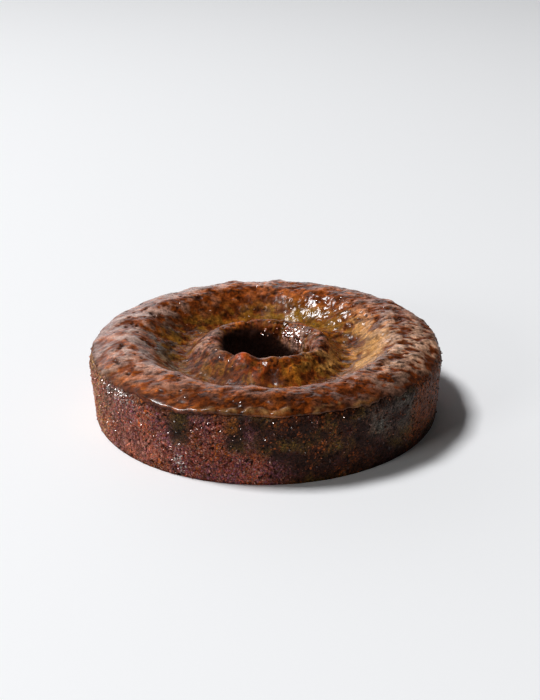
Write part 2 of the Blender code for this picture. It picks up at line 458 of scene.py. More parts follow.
def wall_tone(places, theta, wetness, depth, draw, fine_draw):
    """The wall's colours and gloss, with painted shade in the crumb's gaps, painted glints, a painted sheen
    and more pale crumbs on the lit side.
    """
    facing = partial(near_angle, theta)
    patches = noise_at(places, 55, 3, 12.0)
    warm = noise_at(places, 48, 2, 27.0)
    height = places[:, 2]
    painted_light_side = facing(205, 38, plateau)
    lots = [(k * fine_draw + 3.0 * k * draw) % 1.0 for k in (7.0, 11.0, 17.0, 29.0)]
    tone = mixed(plain(DATE_BROWN, len(places)), RED_BROWN, 0.1 + 1.1 * lots[0] + 0.5 * patches)
    tone = picked(tone, ORANGE_CRUMB, 0.07 + 0.5 * warm, lots[1])
    tone = picked(tone, PLUM_CRUMB, 0.22 - 0.6 * warm, lots[2])
    far_left = facing(194, 15, plateau)
    tone = picked(tone, TAN_CRUMB, 0.65 * far_left, lots[2])
    grey = facing(208, 14) * ease((height - 0.015) / 0.015)
    tone = picked(tone, GREY_CRUMB, 0.4 * grey, lots[1])
    # More pale crumbs round 205°, on the side the light falls on: painted light
    tone = picked(tone, PALE_CRUMB, 0.13 + 0.18 * painted_light_side, lots[3])
    salmon = facing(225, 9) * bell(height - 0.01, 0.009)
    tone = mixed(tone, SALMON, 0.55 * salmon * (1 + patches))
    # Painted glints: pale crumbs in a band just under the glaze's edge, and along a drip of sauce
    glinting_band = facing(218, 7, plateau) * bell(height - 0.0445, 0.0035)
    glinting_trail = facing(242 + 2 * (0.023 - height) / 0.023, 1.2) * bell(height - 0.011, 0.013)
    tone = picked(tone, PAINTED_GLINT, 0.5 * glinting_band + 0.4 * glinting_trail, lots[0])

    soaked_tone = mixed(plain(SOAKED_BROWN, len(places)), SOAKED_OLIVE, 0.18 + 1.5 * patches)
    olive = facing(243, 5) * ease((height - 0.028) / 0.01)
    soaked_tone = mixed(soaked_tone, SOAKED_OLIVE, 0.8 * olive)
    ember = 0.06 + 0.8 * facing(338, 17, plateau) * ease((height - 0.004) / 0.006) + 0.35 * warm
    soaked_tone = picked(soaked_tone, SOAKED_EMBER, ember, lots[1])
    soaked_tone = mixed(soaked_tone, DARK_CRUMB_AND_SHADE, 0.6 * ease((0.3 - lots[2]) / 0.1))
    tongue = facing(259.7, 2.3, plateau) * plateau(height - 0.0425, 0.0055)
    soaked_tone = mixed(soaked_tone, TONGUE, 0.9 * tongue)
    # Painted sheen: a pale blue-grey patch on the soaked wall round 311°
    sheen_patch = facing(311, 9, plateau) * bell(height - 0.036, 0.012)
    soaked_tone = mixed(soaked_tone, PAINTED_SHEEN, sheen_patch * (0.75 + 1.2 * patches))
    soak = np.clip(wetness, 0, 1)[:, None]
    tone = tone * (1 - soak) + soaked_tone * soak
    tone = tone * ((0.24 + 1.15 * lots[3]) * (1 + 0.45 * patches))[:, None]
    tone = tone * (1 - 0.28 * facing(252, 9, plateau))[:, None]
    # Painted shade: near-black in the gaps between the crumbs
    tone = mixed(tone, DARK_CRUMB_AND_SHADE, 0.92 * depth)
    wet = np.clip(0.15 + 0.7 * soak[:, 0] - 0.3 * depth + 0.3 * (lots[0] > 0.8), 0, 1)
    return tone, wet


def wall_wetness(places, theta):
    """How wet each point of the wall is, with uneven borders."""
    uneven = 0.3 * noise_at(places, 80, 3, 18.0)
    soak = soaked(theta, places[:, 2])
    return np.clip(soak + uneven * (0.3 + 3.0 * soak * (1 - soak)), 0, 1)


def wall_half(name, first_column, material):
    """Half of the outer wall's crumb, from under the glaze's edge down to the underside and in a little."""
    count = WALL_COLUMNS // 2 + 1
    theta = (first_column + np.arange(count)) * 2 * math.pi / WALL_COLUMNS
    top = guide_at_height(theta, edge_height(theta) + WALL_LAP)
    rows = round((EDGE_HEIGHT + WALL_LAP) / WALL_ROW_STEP)
    u = top[None, :] * np.linspace(0, 1, rows)[:, None]
    thetas = np.broadcast_to(theta, u.shape)
    places, normals = on_skin(u.ravel(), thetas.ravel())
    flat_theta = thetas.ravel()
    wetness = wall_wetness(places, flat_theta)
    height, *grain = crumb_relief(places, wetness)
    tone, wet = wall_tone(places, flat_theta, wetness, *grain)
    foot = ease(u.ravel() / FOOT_ROUND)
    places = places + normals * (height * (0.35 + 0.65 * foot) - 0.001 * (1 - foot))[:, None]
    places[:, 2] = np.maximum(places[:, 2] - (1 - foot) * SKIN_STEP, 0.0)
    grid = places.reshape(rows, count, 3)
    grid[0, :, 2] = 0.0
    turned_in = grid[0] * (1 - FOOT_TURNED_IN / OUTER)
    turned_in[:, 2] = 0.0
    points = np.concatenate([turned_in[None], grid]).reshape(-1, 3)
    tone = np.concatenate([tone[:count], tone])
    wet = np.concatenate([wet[:count], wet])
    k = np.arange(rows * count).reshape(rows, count)
    a, b = k[:, :-1].ravel(), k[:, 1:].ravel()
    faces = np.stack([a, b, b + count, a + count], -1).tolist()
    new_piece(name, points, faces, tone, wet, material)


SPONGE_COLUMNS = 320
SPONGE_TUBE_STEP = 0.0009
SPONGE_SUNK = 0.0032
# How far above the tube the rows come that show, and how many rows the underside and the hidden part have
SPONGE_LAP = 0.004
UNDERSIDE_ROWS = 29
HIDDEN_ROWS = 34
# How high the underside lies, and how far its pores go up
UNDERSIDE_HEIGHT = 0.0002
UNDERSIDE_PORES = 0.0009


def sponge_body(material):
    """The closed ring inside the crumb wall and the glaze. Its tube wall and its underside show."""
    theta = angles(SPONGE_COLUMNS)
    foot = on_skin(np.zeros(SPONGE_COLUMNS), theta)[0]
    foot[:, 2] = 0.0
    inner_foot = on_skin(np.full(SPONGE_COLUMNS, TUBE_END), theta)[0]
    inner_foot[:, 2] = 0.0
    rings = []
    for share in np.linspace(0, 1, UNDERSIDE_ROWS + 1)[:-1]:
        places = inner_foot * (1 - share) + foot * (1 - 0.0012 / OUTER) * share
        pores = noise_at(places, 300, 2, 3.0)
        patches = noise_at(places, 70, 3, 5.0)
        tone = mixed(plain(DATE_BROWN, len(places)), RED_BROWN, 0.4 + 0.8 * patches)
        # Painted shade: near-black in the underside's pores
        tone = mixed(tone, DARK_CRUMB_AND_SHADE, 0.7 * ease((pores - 0.12) / 0.3))
        places[:, 2] = UNDERSIDE_HEIGHT + UNDERSIDE_PORES * ease((pores - 0.1) / 0.35)
        if share == 0:
            places[:, 2] = UNDERSIDE_HEIGHT
        rings.append((places, tone, np.full(len(places), 0.25)))
    top = LIP_END - SPONGE_LAP
    for share in np.linspace(0, 1, HIDDEN_ROWS):
        u = np.full(SPONGE_COLUMNS, share * top + 0.0004)
        places, normals = on_skin(u, theta)
        places = places - normals * SPONGE_SUNK
        places[:, 2] = np.maximum(places[:, 2], 0.0006)
        rings.append((places, plain(DATE_BROWN, len(places)), np.full(len(places), 0.3)))
    length = TUBE_END - LIP_END + SPONGE_LAP
    steps = int(length / SPONGE_TUBE_STEP)
    for share in np.linspace(0, 1, steps)[1:-1]:
        u = np.full(SPONGE_COLUMNS, top + share * length)
        places, normals = on_skin(u, theta)
        wetness = np.clip(0.5 + 0.8 * noise_at(places, 60, 2, 22.0), 0, 1)
        height, *grain = crumb_relief(places, wetness)
        tone, wet = wall_tone(places, theta, wetness, *grain)
        buried = SPONGE_SUNK * (1 - ease(share / 0.25))
        places = places + normals * (height - buried)[:, None]
        places[:, 2] = np.maximum(places[:, 2], 0.0008)
        rings.append((places, tone, 0.3 * wet))
    faces = stitched([places for places, _, _ in rings], closed=True)
    points, tone, wet = (np.concatenate(part) for part in zip(*rings))
    new_piece("sponge", points, faces, tone, wet, material)


# Glaze colours, in linear light, among them painted shade and painted sheen
DARK_SAUCE_AND_SHADE = (0.02, 0.005, 0.002)
DARK_BROWN_AND_SHADE = (0.085, 0.018, 0.003)
RUSSET = (0.2, 0.043, 0.008)
AMBER = (0.51, 0.118, 0.009)
ORANGE_HOLLOW_SHADE = (0.23, 0.042, 0.003)
TAN_SKIN_AND_SHEEN = (0.51, 0.312, 0.24)
TAN = (0.62, 0.3, 0.08)
BEIGE_SKIN_AND_SHEEN = (0.55, 0.31, 0.195)
LEDGE_TAN = (0.31, 0.145, 0.048)
OLIVE = (0.3, 0.14, 0.014)
EMBER = (0.42, 0.062, 0.01)
COLLAR_BROWN = (0.15, 0.036, 0.004)
PAINTED_SLOPE_SHADE = (0.038, 0.016, 0.003)
CRUMB_PINK = (0.29, 0.115, 0.1)
MAUVE_SHEEN = (0.25, 0.14, 0.115)
POND = (0.3, 0.215, 0.125)

# Each place on the glaze: direction and half width in degrees, radius and half width, how much.
# The first table's places have a colour too
GLAZE_PATCHES = (
    (228, 18, 0.113, 0.01, AMBER, 0.75),
    (205, 10, 0.112, 0.008, AMBER, 0.5),
    # Darker low on the front of the rim, which faces away from the light: painted shade
    (275, 50, 0.115, 0.0085, DARK_BROWN_AND_SHADE, 0.9),
    (200, 14, 0.122, 0.006, OLIVE, 0.6),
    # Painted shade on the moat's inner slopes that face away from the light
    (185, 42, 0.078, 0.012, PAINTED_SLOPE_SHADE, 1.2),
    (148, 30, 0.086, 0.012, PAINTED_SLOPE_SHADE, 0.6),
    (95, 32, 0.078, 0.01, RUSSET, 0.5),
    (352, 25, 0.079, 0.013, TAN, 1.4),
    (30, 18, 0.076, 0.01, TAN, 0.5),
    (70, 34, 0.07, 0.01, OLIVE, 0.95),
    (140, 30, 0.066, 0.008, OLIVE, 0.45),
    (205, 40, 0.061, 0.008, OLIVE, 0.4),
    (186, 34, 0.045, 0.012, CRUMB_PINK, 0.75),
    (203, 9, 0.075, 0.0065, POND, 1.8),
    # Mauve on the outer left rim: painted sheen
    (178, 30, 0.119, 0.009, MAUVE_SHEEN, 0.85),
    (262, 40, 0.049, 0.013, COLLAR_BROWN, 0.95),
    (226, 20, 0.05, 0.011, COLLAR_BROWN, 0.85),
    (262, 16, 0.046, 0.006, EMBER, 0.45),
    (293, 5, 0.046, 0.009, AMBER, 0.75),
    (322, 26, 0.049, 0.01, OLIVE, 0.75),
    (332, 20, 0.048, 0.009, TAN, 0.8),
    (95, 48, 0.104, 0.014, AMBER, 0.75),
    (246, 8, 0.038, 0.005, EMBER, 0.85),
    (350, 30, 0.038, 0.006, CRUMB_PINK, 0.7),
    # Pale on the hole's inner side that the light reaches: painted light
    (20, 45, 0.032, 0.005, TAN_SKIN_AND_SHEEN, 0.8),
    (318, 20, 0.118, 0.011, DARK_BROWN_AND_SHADE, 0.85),
)
# Where the lumps have a pale skin on their tops, partly a drier skin and partly painted sheen
PALE_SKIN_AND_SHEEN = (
    (180, 48, 0.102, 0.016, 1.0),
    (130, 30, 0.108, 0.018, 0.5),
    (85, 50, 0.108, 0.014, 0.3),
    (352, 42, 0.106, 0.02, 1.1),
    (265, 50, 0.1035, 0.006, 0.15),
    (178, 32, 0.044, 0.012, 0.4),
)
# Where the sauce lies thick and smooth
SLICKS = (
    (352, 26, 0.079, 0.012, 0.85),
    (58, 22, 0.077, 0.01, 0.7),
    (82, 36, 0.067, 0.01, 0.5),
    (200, 26, 0.0605, 0.008, 0.35),
)
# Where it lies wet over the crumb, and breaks the light up
WET_CRUMB = (
    (42, 38, 0.0335, 0.007, 1.0),
    (64, 28, 0.076, 0.012, 0.25),
)
# Where it has dried to a dull shine
DULL = (
    (180, 46, 0.108, 0.018, 0.25),
    (345, 45, 0.108, 0.018, 0.15),
    (228, 32, 0.048, 0.012, 1.0),
    (354, 24, 0.0785, 0.011, 0.9),
    (86, 14, 0.077, 0.014, 0.8),
    (252, 22, 0.053, 0.008, 0.9),
)
# Where bare crumb shows through the glaze
CRUMBLY = (
    (222, 22, 0.048, 0.011, 0.8),
    (192, 38, 0.045, 0.011, 1.0),
    (345, 30, 0.037, 0.006, 0.8),
    (100, 40, 0.04, 0.006, 0.6),
)

# How much light the toffee gives back, next to its colours
GLAZE_DEPTH = 0.88

RIM_COLUMNS = 1080
WELL_COLUMNS = 640
BOWL_COLUMNS = 360
RIM_ROW_STEP = 0.00068
WELL_ROW_STEP = 0.0007
BOWL_ROW_STEP = 0.0006
# The rows take their smaller counts inside these radii
WELL_RADIUS = 0.0745
BOWL_RADIUS = 0.04
# How far up from the glaze's edge its first rows are
HEM_ROWS = np.array([0, 0.2, 0.45, 0.8, 1.2, 1.7, 2.3, 3.0]) * 0.001
GLAZE_THICK = 0.0004
EDGE_THICK = 0.0009
BEAD_THICK = 0.0006
LIP_THICK = 0.0016

PIT_SEED = 20
PITS_ON_RIM = 100
SMALL_PITS = 420
PIT_RADII = (0.0012, 0.0023)
SMALL_PIT_RADII = (0.0006, 0.0012)
# Between which guide distances the pits lie
PITS_FROM = 0.047
PITS_TO = 0.094
SMALL_PITS_TO = CRUST_END + 0.006


def scattered_pits():
    """Pits left by bubbles in the crust: place on the skin, angle, radius, depth and how long each is."""
    draw = np.random.default_rng(PIT_SEED)
    u = np.concatenate([
        draw.uniform(PITS_FROM, PITS_TO, PITS_ON_RIM),
        draw.uniform(PITS_FROM, SMALL_PITS_TO, SMALL_PITS),
    ])
    theta = draw.uniform(0, 2 * math.pi, len(u))
    radius = np.concatenate([
        draw.uniform(*PIT_RADII, PITS_ON_RIM),
        draw.uniform(*SMALL_PIT_RADII, SMALL_PITS),
    ])
    depth = radius * draw.uniform(0.3, 0.65, len(u))
    stretch = draw.uniform(1.0, 2.2, len(u))
    places, _ = on_skin(u, theta)
    far_out = ease((np.hypot(places[:, 0], places[:, 1]) - 0.078) / 0.016)
    keep = draw.uniform(0, 1, len(u)) < (0.3 + 0.7 * far_out) * (1 - 0.7 * near_angle(theta, 258, 45))
    return places[keep], theta[keep], radius[keep], depth[keep], stretch[keep]


def pitted(places, pits):
    """How deep the pits are at each point, in metres, and how far into a pit it is, 0 to 1."""
    sunk = np.zeros(len(places))
    inside = np.zeros(len(places))
    ragged = 1 + 0.45 * noise_at(places, 700, 2, 25.0)
    order = np.argsort(places[:, 0])
    xs = places[order, 0]
    for centre, theta, radius, depth, stretch in zip(*pits):
        reach = radius * stretch * 1.8
        first, last = np.searchsorted(xs, (centre[0] - reach, centre[0] + reach))
        near = order[first:last]
        gap = places[near] - centre
        along = gap @ (-math.sin(theta), math.cos(theta), 0.0)
        rest = (gap ** 2).sum(axis=1) - along ** 2
        distance = np.sqrt(np.maximum(rest, 0) + (along / stretch) ** 2) / radius * ragged[near]
        hollow = np.clip(1 - distance ** 2, 0, 1) ** 1.2
        sunk[near] = np.maximum(sunk[near], depth * hollow)
        inside[near] = np.maximum(inside[near], hollow)
    return sunk, inside


def in_patch(theta, radius, direction, half, middle, half_width):
    """A soft-edged patch round a direction and a radius."""
    return near_angle(theta, direction, half) * bell(radius - middle, half_width)


def covered(theta, radius, patches):
    """The strongest of several patches at each point."""
    most = np.zeros_like(theta)
    for *where, strength in patches:
        most = np.maximum(most, strength * in_patch(theta, radius, *where))
    return most


def shares(length, step):
    """Even shares of a length, about a step apart, up to 1."""
    count = round(length / step)
    return np.arange(1, count + 1) / count


def glaze_rows():
    """The guide distances, the angles and the distances from the glaze's edge of the points in each row."""
    well = SHOULDER_END + RIM_CORE - WELL_RADIUS
    bowl = SHOULDER_END + RIM_CORE - BOWL_RADIUS
    rows = []
    theta = angles(RIM_COLUMNS)
    edge = guide_at_height(theta, edge_height(theta))
    for gap in HEM_ROWS:
        rows.append((edge + gap, theta, np.full_like(theta, gap)))
    hem = edge + HEM_ROWS[-1]
    for share in shares(well - hem.mean(), RIM_ROW_STEP):
        u = hem + (well - hem) * share
        rows.append((u, theta, u - edge))
    seam = len(rows) - 1
    theta = angles(WELL_COLUMNS)
    for share in shares((bowl - well) * 1.2, WELL_ROW_STEP):
        rows.append((np.full_like(theta, well + (bowl - well) * share), theta, np.ones_like(theta)))
    theta = angles(BOWL_COLUMNS)
    tube_edge = TUBE_EDGE_HEIGHT + TUBE_EDGE_WANDER * around(theta, 5.5, 3.0)
    end = guide_at_height(theta, tube_edge, inside=True)
    for share in shares(end.mean() - bowl, BOWL_ROW_STEP):
        u = bowl + (end - bowl) * share
        rows.append((u, theta, end - u))
    return rows, seam


def glaze_coat(material):
    """The coat of toffee, from its edge on the wall to its edge inside the tube, as a rim and a well."""
    rows, seam = glaze_rows()
    u, theta, gap = (np.concatenate(part) for part in zip(*rows))
    skin, normals = on_skin(u, theta)
    places, tone, wet = glazed(skin, normals, theta, gap)
    ends = np.cumsum([len(row[0]) for row in rows])
    split = np.split(places, ends[:-1])
    shared = smooth_normals(places, stitched(split))
    for name, first, last in (("toffee_glaze_rim", 0, seam), ("toffee_glaze_well", seam, len(rows) - 1)):
        part = slice(ends[first] - len(split[first]), ends[last])
        faces = stitched(split[first:last + 1])
        new_piece(name, places[part], faces, tone[part], wet[part], material, shared[part])


def glazed(skin, normals, theta, gap):
    """Moves the sheet's points out to the glaze's surface, and gives their colours and gloss. The colours
    include painted shade in hollows, pits, the tube and on parts that face away from the light, and painted
    sheen and light on pale tops and the hole's lit side.
    """
    facing = partial(near_angle, theta)
    radius = np.hypot(skin[:, 0], skin[:, 1])
    on_rim = ease((radius - 0.072) / 0.016)
    smooth = covered(theta, radius, SLICKS)
    crumbly = covered(theta, radius, CRUMBLY)
    wet_crumb = covered(theta, radius, WET_CRUMB)
    right_rim = facing(-16, 34) * on_rim
    dull = covered(theta, radius, DULL)
    left_rim = facing(183, 52) * on_rim
    collar = bell(radius - 0.04, 0.009)
    craggy = 0.7 + 0.4 * right_rim - 0.5 * facing(248, 38) + 0.3 * collar
    rough = craggy * (1 - 0.45 * smooth)

    swells = noise_at(skin, 74, 1, 1.0)
    crags = noise_at(skin, 125, 2, 7.0)
    dents = noise_at(skin, 330, 2, 5.0)
    near, _, draw = grains_at(skin, CRUMBS_PER_METRE, 33.0)
    grain = dome(near, draw) - 0.5
    wrinkles = noise_at(skin, 700, 2, 14.0)
    sunk, inside = pitted(skin, scattered_pits())
    knobs = noise_at(skin * (0.62, 1.0, 1.0), 165, 2, 51.0)
    calm = 1 - 0.55 * left_rim
    fine = (1 - 0.7 * right_rim) * calm
    relief = rough * (0.00085 * swells + 0.001 * calm * crags + 0.0003 * fine * dents)
    relief += (0.00025 * on_rim + 0.001 * right_rim + 0.00045 * collar) * calm * knobs
    loose = 0.00006 + 0.00045 * crumbly
    relief += loose * (1 - 0.8 * smooth) * grain + 0.00003 * wrinkles
    relief += 0.001 * wet_crumb * noise_at(skin, 300, 2, 41.0)
    ripples = facing(58, 30) * bell(radius - 0.077, 0.012)
    relief += 0.0003 * ripples * noise_at(skin, 210, 2, 43.0)
    relief -= sunk * (1 - 0.8 * smooth)

    ledge = facing(276, 24, plateau)
    glint = facing(240, 11, plateau)
    lip = facing(239, 17, plateau)
    overhang = 0.15 + 0.85 * facing(258, 48, plateau)
    thick = GLAZE_THICK + EDGE_THICK * overhang * np.exp(-gap / 0.0058)
    thick += LIP_THICK * lip * (1 - ease(gap / 0.0075))
    coat = thick * (1 - np.exp(-gap / 0.0006)) - 0.001 * np.exp(-gap / 0.00022)
    waves = noise_at(skin, 110, 2, 16.0)
    bead = 0.15 + 0.25 * glint + (1.7 + 2.2 * waves) * ledge + 0.5 * waves * (1 - lip)
    middle = 0.0017 - 0.0004 * glint + 0.0012 * ledge * (1 + 1.5 * around(theta, 11.7, 22.0))
    bead_half = 0.0013 - 0.0003 * glint + 0.0007 * ledge
    coat += BEAD_THICK * np.clip(bead, 0, 2.6) * bell(gap - middle, bead_half)
    near_edge = 1 - (0.75 + 0.2 * lip) * (1 - ease(gap / (0.006 + 0.004 * lip)))
    places = skin + normals * (coat + relief * near_edge * ease(gap / 0.0006))[:, None]

    knobby = 1.3 * right_rim + 0.3 * on_rim + 0.6 * collar
    level = (1.1 * crags + 0.6 * swells + knobby * knobs) / (1 + 0.5 * knobby)
    blotches = noise_at(skin, 85, 3, 21.0)
    broad = noise_at(skin, 34, 2, 13.0)
    turn = np.stack([np.cos(theta), np.sin(theta)], -1)
    across = skin * (0.42, 1.0, 1.0)
    streaks = noise_at(across, 170, 2, 61.0)
    threads = noise_at(across, 460, 2, 71.0)
    radial = noise_at(np.column_stack([0.045 * turn, 0.5 * radius]), 230, 2, 81.0)
    tone = mixed(plain(RUSSET, len(skin)), AMBER, 0.9 * ease((blotches + 0.3 * broad - 0.05) / 0.35))
    for *where, colour, strength in GLAZE_PATCHES:
        patch = in_patch(theta, radius, *where)
        tone = mixed(tone, colour, strength * patch * (1 + 1.1 * blotches + 0.5 * level))
    warm_side = facing(215, 62, plateau) * (0.15 + 0.85 * on_rim)
    vivid = ease((0.5 * streaks - blotches - 0.05) / 0.25)
    tone = mixed(tone, AMBER, 0.55 * warm_side * vivid * (1 - smooth))
    furrows = ease((-0.08 - streaks) / 0.3) * (1 - 0.85 * smooth - 0.5 * left_rim)
    tone = mixed(tone, DARK_BROWN_AND_SHADE, 0.8 * np.clip(furrows, 0, 1))
    # Pale tops of the lumps: a drier skin, and a painted sheen
    pale_and_sheen = covered(theta, radius, PALE_SKIN_AND_SHEEN)
    skin_and_sheen_share = ease((level + 0.12 + 0.22 * right_rim) / 0.3) + 1.1 * blotches + 0.4 * streaks
    tone = mixed(tone, TAN_SKIN_AND_SHEEN, pale_and_sheen * (1 - right_rim) * skin_and_sheen_share)
    tone = mixed(tone, BEIGE_SKIN_AND_SHEEN, pale_and_sheen * right_rim * skin_and_sheen_share)
    # Darker orange in the hollows of the relief: painted shade
    hollow_shade = ease((-0.04 - 0.12 * right_rim - 0.1 * left_rim - level) / 0.16)
    tone = mixed(tone, ORANGE_HOLLOW_SHADE, 0.75 * hollow_shade * (1 - smooth))
    # Near-black brown in the deepest hollows of the relief: painted shade
    deepest_shade = ease((-0.24 - level) / 0.2) * (1 - smooth) * (1 - 0.7 * left_rim)
    tone = mixed(tone, DARK_BROWN_AND_SHADE, 0.8 * deepest_shade)
    tan_slope = facing(352, 30) * bell(radius - 0.078, 0.014)
    in_bowl = (1 - on_rim) * (1 - 0.6 * smooth) * (1 - 0.8 * tan_slope)
    tone = mixed(tone, OLIVE, 0.45 * in_bowl * (1 - 0.6 * collar) * ease((radial - 0.02) / 0.3))
    tone = mixed(tone, DARK_SAUCE_AND_SHADE, 0.45 * in_bowl * ease((-0.1 - radial) / 0.3))
    speckle = (1 - 0.6 * smooth) * (1 - 0.4 * left_rim) * (draw - 0.5)
    grainy = (0.8 + 0.7 * collar) * speckle + (1 - 0.7 * smooth) * (0.45 * wrinkles + 0.35 * streaks)
    threaded = (0.7 - 0.4 * left_rim) * on_rim * (1 - 0.8 * smooth) * threads
    tone = tone * np.clip(1 + grainy + threaded, 0.2, 2)[:, None]
    # Darker on the front shoulder near the edge, which faces away from the light: painted shade
    tone = tone * (1 - 0.3 * facing(285, 48, plateau) * ease((radius - 0.107) / 0.004))[:, None]
    tone = tone * GLAZE_DEPTH
    # Painted shade: near-black in the pits, and between the bare crumbs
    tone = mixed(tone, DARK_SAUCE_AND_SHADE, 0.92 * inside ** 0.6 * (1 - smooth))
    tone = mixed(tone, DARK_SAUCE_AND_SHADE, 0.6 * crumbly * ease((-0.15 - grain) / 0.3))
    # Painted shade: near-black down into the tube; on the lit side it starts lower and fades more slowly
    lit = facing(22, 56)
    below = 0.0505 - 0.018 * lit
    inward = ease((0.0378 - 0.0003 * lit - radius) / 0.0014)
    painted_tube_shade = ease((below - skin[:, 2]) / (0.0035 + 0.006 * lit)) * inward
    tone = mixed(tone, DARK_SAUCE_AND_SHADE, 0.97 * painted_tube_shade)
    hem = (1 - ease(gap / 0.0045)) * (1 - np.maximum(ledge, 0.6 * glint))
    tone = mixed(tone, SOAKED_BROWN, 0.6 * hem)
    ragged = 0.55 + 1.6 * waves + 0.9 * dents
    tone = mixed(tone, LEDGE_TAN, ledge * bell(gap - middle, 0.0019) * ragged)
    under_lip = lip * (1 - ease((gap - 0.0009) / 0.0005))
    tone = mixed(tone, DATE_BROWN, 0.9 * under_lip)
    tone = tone * np.clip(1 + 1.2 * under_lip * (draw - 0.7), 0.1, 2)[:, None]
    glossy = bell(gap - middle, 0.0012) * glint
    torn = torn_edge(theta) * np.exp(-gap / 0.0025)
    wet = 0.9 - 0.7 * torn + 0.15 * smooth + 0.1 * wet_crumb + 0.12 * broad + 0.2 * glossy
    wet -= 0.75 * np.maximum(crumbly, dull) + 0.6 * under_lip + 0.7 * inside
    wet *= 1 - painted_tube_shade
    return places, tone, np.clip(wet, 0, 1)


# Loose crumbs on the wall

GRAIN_COUNT = 5200
GRAIN_SEED = 31
# The smallest radius of a crumb, and how much more the largest have
GRAIN_LEAST = 0.00045
GRAIN_MORE = 0.00055


def crumb_grains(material):
    """Small angular crumbs, half sunk in the wall's surface."""
    draw = np.random.default_rng(GRAIN_SEED)
    phi = (1 + math.sqrt(5)) / 2
    corners = np.array([
        (-1, phi, 0), (1, phi, 0), (-1, -phi, 0), (1, -phi, 0), (0, -1, phi), (0, 1, phi),
        (0, -1, -phi), (0, 1, -phi), (phi, 0, -1), (phi, 0, 1), (-phi, 0, -1), (-phi, 0, 1),
    ]) / math.hypot(1, phi)
    sides = np.array([
        (0, 11, 5), (0, 5, 1), (0, 1, 7), (0, 7, 10), (0, 10, 11), (1, 5, 9), (5, 11, 4), (11, 10, 2),
        (10, 7, 6), (7, 1, 8), (3, 9, 4), (3, 4, 2), (3, 2, 6), (3, 6, 8), (3, 8, 9), (4, 9, 5),
        (2, 4, 11), (6, 2, 10), (8, 6, 7), (9, 8, 1),
    ])
    theta = draw.uniform(0, 2 * math.pi, GRAIN_COUNT)
    u = draw.uniform(0.0008, 0.047, GRAIN_COUNT)
    places, normals = on_skin(u, theta)
    wetness = wall_wetness(places, theta)
    keep = draw.uniform(0, 1, GRAIN_COUNT) > 0.75 * wetness
    places, normals, theta, wetness = places[keep], normals[keep], theta[keep], wetness[keep]
    n = len(places)
    each = len(corners)
    size = GRAIN_LEAST + GRAIN_MORE * draw.uniform(0, 1, n) ** 2
    shape = corners[None] * draw.uniform(0.65, 1.35, (n, each, 1)) * draw.uniform(0.7, 1.3, (n, 1, 3))
    sunk = draw.uniform(-0.5, 0.3, n) * size
    middles = places + normals * sunk[:, None]
    points = middles[:, None, :] + shape * size[:, None, None]
    points[:, :, 2] = np.maximum(points[:, :, 2], 0.0)
    faces = (np.arange(n)[:, None, None] * each + sides[None]).reshape(-1, 3).tolist()
    shade = draw.uniform(0, 1, n)
    tone = mixed(plain(DATE_BROWN, n), RED_BROWN, 0.2 + shade)
    tone = mixed(tone, PALE_CRUMB, 0.5 * ease((shade - 0.5) / 0.4))
    tone = mixed(tone, SOAKED_BROWN, wetness)
    tone = np.repeat(tone, each, axis=0)
    wet = np.repeat(np.clip(0.25 + 0.6 * wetness + 0.3 * (shade > 0.85), 0, 1), each)
    new_piece("crumb_grains", points.reshape(-1, 3), faces, tone, wet, material, smooth=False)


# Flakes of sugar that lie so that they catch the window's light

FLAKE_SEED = 57
# A flake's face turns this way, give or take its spread in degrees
FLAKE_FACING = Vector((-0.285, -0.51, 0.812)).normalized()
FLAKE_SPREAD = 8.0
FLAKE_SIDES = 6
# The smallest radius of a flake, and how much more the largest have, in the tube and elsewhere
FLAKE_LEAST = 0.00018
TUBE_FLAKE_MORE = 0.0006
FLAKE_MORE = 0.00026
# Groups on the wall: direction and half width in degrees, height and half width, how many
WALL_FLAKES = (
    (216, 8, 0.045, 0.003, 70),
    (225, 20, 0.028, 0.02, 44),
    (252, 5, 0.04, 0.006, 20),
    (243, 3, 0.011, 0.011, 12),
    (258, 8, 0.033, 0.012, 14),
    (278, 16, 0.028, 0.018, 28),
    (300, 20, 0.03, 0.018, 14),
)
# And the same inside the hole
TUBE_FLAKES = (
    (50, 15, 0.045, 0.003, 90),
    (40, 14, 0.0425, 0.003, 50),
    (85, 12, 0.044, 0.003, 8),
)
# Groups on the glaze: direction and half width in degrees, radius and half width, how many
GLAZE_FLAKES = (
    (40, 30, 0.034, 0.0025, 24),
    (262, 30, 0.113, 0.008, 10),
    (215, 30, 0.048, 0.01, 14),
    (60, 26, 0.08, 0.014, 40),
    (25, 20, 0.093, 0.01, 16),
    (120, 40, 0.08, 0.02, 16),
)


def flake_places(draw):
    """Where the flakes lie on the skin, the skin's normals, and the flakes' radii."""
    guides = []
    turns = []
    sizes = []
    # Each kind: its groups, what finds its guide distances, its largest height or radius, its sizes
    kinds = (
        (WALL_FLAKES, guide_at_height, 0.0465, FLAKE_MORE),
        (TUBE_FLAKES, partial(guide_at_height, inside=True), 0.048, TUBE_FLAKE_MORE),
        (GLAZE_FLAKES, guide_at_radius, OUTER, FLAKE_MORE),
    )
    for groups, guide_at, most, more in kinds:
        for direction, half, middle, spread, count in groups:
            theta = np.radians(direction + half * draw.uniform(-1, 1, count))
            place = np.clip(middle + spread * draw.uniform(-1, 1, count), 0.002, most)
            guides.append(guide_at(theta, place))
            turns.append(theta)
            sizes.append(FLAKE_LEAST + more * draw.uniform(0, 1, count) ** 2)
    return *on_skin(np.concatenate(guides), np.concatenate(turns)), np.concatenate(sizes)


